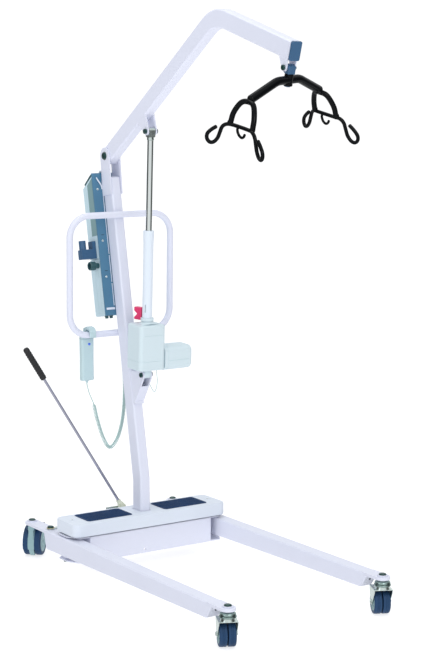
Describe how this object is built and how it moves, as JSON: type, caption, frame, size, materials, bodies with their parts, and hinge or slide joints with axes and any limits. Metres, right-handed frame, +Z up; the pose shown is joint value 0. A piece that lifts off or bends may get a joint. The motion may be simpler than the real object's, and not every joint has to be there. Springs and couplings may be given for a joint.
{
  "type": "patient lift hoist",
  "caption": "Mobile patient lift with spreading legs, leaning mast, actuator-raised boom, swivelling spreader bar with sling hooks, handset and control box.",
  "frame": {"origin": "middle of the footprint on the floor", "axes": "+X forward along the legs, +Z up, +Y to the object's left"},
  "size_m": [1.3727, 0.7349, 1.915],
  "materials": {
    "white_paint": "gloss powder coat",
    "white_plastic": "satin",
    "pale_plastic": "satin",
    "navy_plastic": "ribbed matte",
    "blue_plastic": "satin",
    "teal_plastic": "satin",
    "red_plastic": "gloss",
    "black_paint": "gloss",
    "black_rubber": "matte",
    "cream_rubber": "matte",
    "chrome": "polished",
    "steel": "plated",
    "zinc": "bright zinc plate",
    "navy_wheel": "satin"
  },
  "bodies": {
    "base": {"base_beam": "white_paint", "base_cover": "white_plastic", "foot_pad_right": "navy_plastic", "foot_pad_left": "navy_plastic", "leg_pivot_right": "steel", "leg_pivot_left": "steel", "mast": "white_paint", "actuator_bracket": "white_paint", "actuator_foot_bolt": "steel", "push_handle": "white_paint", "boom_pivot_bolt": "steel", "mounting_plate": "blue_plastic", "control_box": "pale_plastic", "battery_pack": "pale_plastic", "cable_hook": "teal_plastic", "handset_plug": "teal_plastic", "handset": "pale_plastic", "handset_cord_lead": "pale_plastic", "handset_cord_coil": "pale_plastic", "motor_lead": "pale_plastic"},
    "leg_right_swing": {"leg_right": "white_paint"},
    "leg_left_swing": {"leg_left": "white_paint"},
    "tie_right": {"tie_rod_right": "zinc"},
    "tie_left": {"tie_rod_left": "zinc"},
    "lever": {"lever_hub": "steel", "lever_rod": "chrome", "lever_grip": "black_rubber", "lever_boot": "cream_rubber"},
    "boom_arm": {"boom": "white_paint", "boom_end_cap": "blue_plastic", "hanger_bolt": "steel"},
    "hanger": {"hanger_block": "blue_plastic"},
    "spreader": {"spreader_bar": "black_paint", "side_frame_right": "black_paint", "side_frame_left": "black_paint"},
    "actuator": {"gear_housing": "white_plastic", "motor_housing": "white_plastic", "actuator_tube": "white_plastic"},
    "piston": {"actuator_rod": "chrome", "rod_end": "steel"},
    "clip": {"lowering_clip": "red_plastic"},
    "latch": {"battery_latch": "white_plastic"},
    "knob": {"clamp_knob": "teal_plastic"},
    "button_up": {"handset_button_up": "blue_plastic"},
    "button_down": {"handset_button_down": "blue_plastic"},
    "rear_right_caster": {"rear_right_hood": "pale_plastic"},
    "rear_right_roller_a": {"rear_right_wheel_a": "navy_wheel"},
    "rear_right_roller_b": {"rear_right_wheel_b": "navy_wheel"},
    "rear_right_brake": {"rear_right_pedal": "teal_plastic"},
    "rear_left_caster": {"rear_left_hood": "pale_plastic"},
    "rear_left_roller_a": {"rear_left_wheel_a": "navy_wheel"},
    "rear_left_roller_b": {"rear_left_wheel_b": "navy_wheel"},
    "rear_left_brake": {"rear_left_pedal": "teal_plastic"},
    "front_right_caster": {"front_right_fork": "zinc"},
    "front_right_roller_a": {"front_right_wheel_a": "navy_wheel"},
    "front_right_roller_b": {"front_right_wheel_b": "navy_wheel"},
    "front_left_caster": {"front_left_fork": "zinc"},
    "front_left_roller_a": {"front_left_wheel_a": "navy_wheel"},
    "front_left_roller_b": {"front_left_wheel_b": "navy_wheel"}
  },
  "joints": [
    {"name": "boom_lift", "type": "hinge", "parent": "base", "child": "boom_arm", "pos_m": [-0.5282, -0.0201, 1.428], "axis": [0, 1, 0], "range_deg": [0, 55]},
    {"name": "actuator_tilt", "type": "hinge", "parent": "base", "child": "actuator", "pos_m": [-0.2942, -0.0201, 0.675], "axis": [0, 1, 0], "range_deg": [-2.85, 0]},
    {"name": "piston_travel", "type": "slide", "parent": "actuator", "child": "piston", "axis": [0.0449, 0, 0.999], "range_m": [-0.26309, 0]},
    {"name": "lever_swing", "type": "hinge", "parent": "base", "child": "lever", "pos_m": [-0.4282, -0.0201, 0.145], "axis": [-1, 0, 0], "range_deg": [0, 57.4]},
    {"name": "leg_right_spread", "type": "hinge", "parent": "base", "child": "leg_right_swing", "pos_m": [-0.3422, -0.3181, 0.09], "axis": [0, 0, -1], "range_deg": [0, 11.01]},
    {"name": "leg_left_spread", "type": "hinge", "parent": "base", "child": "leg_left_swing", "pos_m": [-0.3422, 0.2779, 0.09], "axis": [0, 0, 1], "range_deg": [0, 11.01]},
    {"name": "tie_right_pivot", "type": "hinge", "parent": "leg_right_swing", "child": "tie_right", "pos_m": [-0.4552, -0.3181, 0.132], "axis": [0, 0, 1], "range_deg": [0, 11.01]},
    {"name": "tie_left_pivot", "type": "hinge", "parent": "leg_left_swing", "child": "tie_left", "pos_m": [-0.4552, 0.2779, 0.132], "axis": [0, 0, -1], "range_deg": [0, 11.01]},
    {"name": "hanger_pivot", "type": "hinge", "parent": "boom_arm", "child": "hanger", "pos_m": [0.5338, -0.0201, 1.7275], "axis": [0, 1, 0], "range_deg": [-75, 10]},
    {"name": "spreader_swivel", "type": "hinge", "parent": "hanger", "child": "spreader", "pos_m": [0.53189, -0.0201, 1.69067], "axis": [-0.2672, 0, -0.9636], "continuous": true},
    {"name": "lowering_clip_lift", "type": "slide", "parent": "actuator", "child": "clip", "axis": [0.0449, 0, 0.999], "range_m": [0, 0.012]},
    {"name": "battery_latch_pivot", "type": "hinge", "parent": "base", "child": "latch", "pos_m": [-0.56997, -0.0201, 1.37096], "axis": [0, 1, 0], "range_deg": [0, 35]},
    {"name": "clamp_knob_turn", "type": "hinge", "parent": "base", "child": "knob", "pos_m": [-0.51925, -0.0951, 1.0412], "axis": [0, 1, 0], "continuous": true},
    {"name": "button_up_press", "type": "slide", "parent": "base", "child": "button_up", "axis": [1, 0, 0], "range_m": [0, 0.0015], "stiffness_N_per_m": 400},
    {"name": "button_down_press", "type": "slide", "parent": "base", "child": "button_down", "axis": [1, 0, 0], "range_m": [0, 0.0015], "stiffness_N_per_m": 400},
    {"name": "rear_right_swivel", "type": "hinge", "parent": "leg_right_swing", "child": "rear_right_caster", "pos_m": [-0.5922, -0.3181, 0.125], "axis": [0, 0, 1], "continuous": true},
    {"name": "rear_right_wheel_a_spin", "type": "hinge", "parent": "rear_right_caster", "child": "rear_right_roller_a", "pos_m": [-0.61414, -0.29764, 0.05], "axis": [-0.682, -0.7314, 0], "continuous": true},
    {"name": "rear_right_wheel_b_spin", "type": "hinge", "parent": "rear_right_caster", "child": "rear_right_roller_b", "pos_m": [-0.61414, -0.29764, 0.05], "axis": [-0.682, -0.7314, 0], "continuous": true},
    {"name": "rear_right_brake_press", "type": "hinge", "parent": "rear_right_caster", "child": "rear_right_brake", "pos_m": [-0.64047, -0.27309, 0.098], "axis": [-0.682, -0.7314, 0], "range_deg": [0, 10]},
    {"name": "rear_left_swivel", "type": "hinge", "parent": "leg_left_swing", "child": "rear_left_caster", "pos_m": [-0.5922, 0.2779, 0.125], "axis": [0, 0, 1], "continuous": true},
    {"name": "rear_left_wheel_a_spin", "type": "hinge", "parent": "rear_left_caster", "child": "rear_left_roller_a", "pos_m": [-0.61414, 0.29836, 0.05], "axis": [-0.682, -0.7314, 0], "continuous": true},
    {"name": "rear_left_wheel_b_spin", "type": "hinge", "parent": "rear_left_caster", "child": "rear_left_roller_b", "pos_m": [-0.61414, 0.29836, 0.05], "axis": [-0.682, -0.7314, 0], "continuous": true},
    {"name": "rear_left_brake_press", "type": "hinge", "parent": "rear_left_caster", "child": "rear_left_brake", "pos_m": [-0.64047, 0.32291, 0.098], "axis": [-0.682, -0.7314, 0], "range_deg": [0, 10]},
    {"name": "front_right_swivel", "type": "hinge", "parent": "leg_right_swing", "child": "front_right_caster", "pos_m": [0.6488, -0.3181, 0.125], "axis": [0, 0, 1], "continuous": true},
    {"name": "front_right_wheel_a_spin", "type": "hinge", "parent": "front_right_caster", "child": "front_right_roller_a", "pos_m": [0.62633, -0.30714, 0.04], "axis": [-0.4384, -0.8988, 0], "continuous": true},
    {"name": "front_right_wheel_b_spin", "type": "hinge", "parent": "front_right_caster", "child": "front_right_roller_b", "pos_m": [0.62633, -0.30714, 0.04], "axis": [-0.4384, -0.8988, 0], "continuous": true},
    {"name": "front_left_swivel", "type": "hinge", "parent": "leg_left_swing", "child": "front_left_caster", "pos_m": [0.6488, 0.2779, 0.125], "axis": [0, 0, 1], "continuous": true},
    {"name": "front_left_wheel_a_spin", "type": "hinge", "parent": "front_left_caster", "child": "front_left_roller_a", "pos_m": [0.62633, 0.28886, 0.04], "axis": [-0.4384, -0.8988, 0], "continuous": true},
    {"name": "front_left_wheel_b_spin", "type": "hinge", "parent": "front_left_caster", "child": "front_left_roller_b", "pos_m": [0.62633, 0.28886, 0.04], "axis": [-0.4384, -0.8988, 0], "continuous": true}
  ],
  "couplings": [
    {"joint": "actuator_tilt", "follows": "boom_lift", "ratio": -0.051507},
    {"joint": "piston_travel", "follows": "boom_lift", "m_per_rad": -0.27386},
    {"joint": "leg_right_spread", "follows": "lever_swing", "ratio": 0.19164},
    {"joint": "leg_left_spread", "follows": "lever_swing", "ratio": 0.19164},
    {"joint": "tie_right_pivot", "follows": "lever_swing", "ratio": 0.19164},
    {"joint": "tie_left_pivot", "follows": "lever_swing", "ratio": 0.19164}
  ]
}
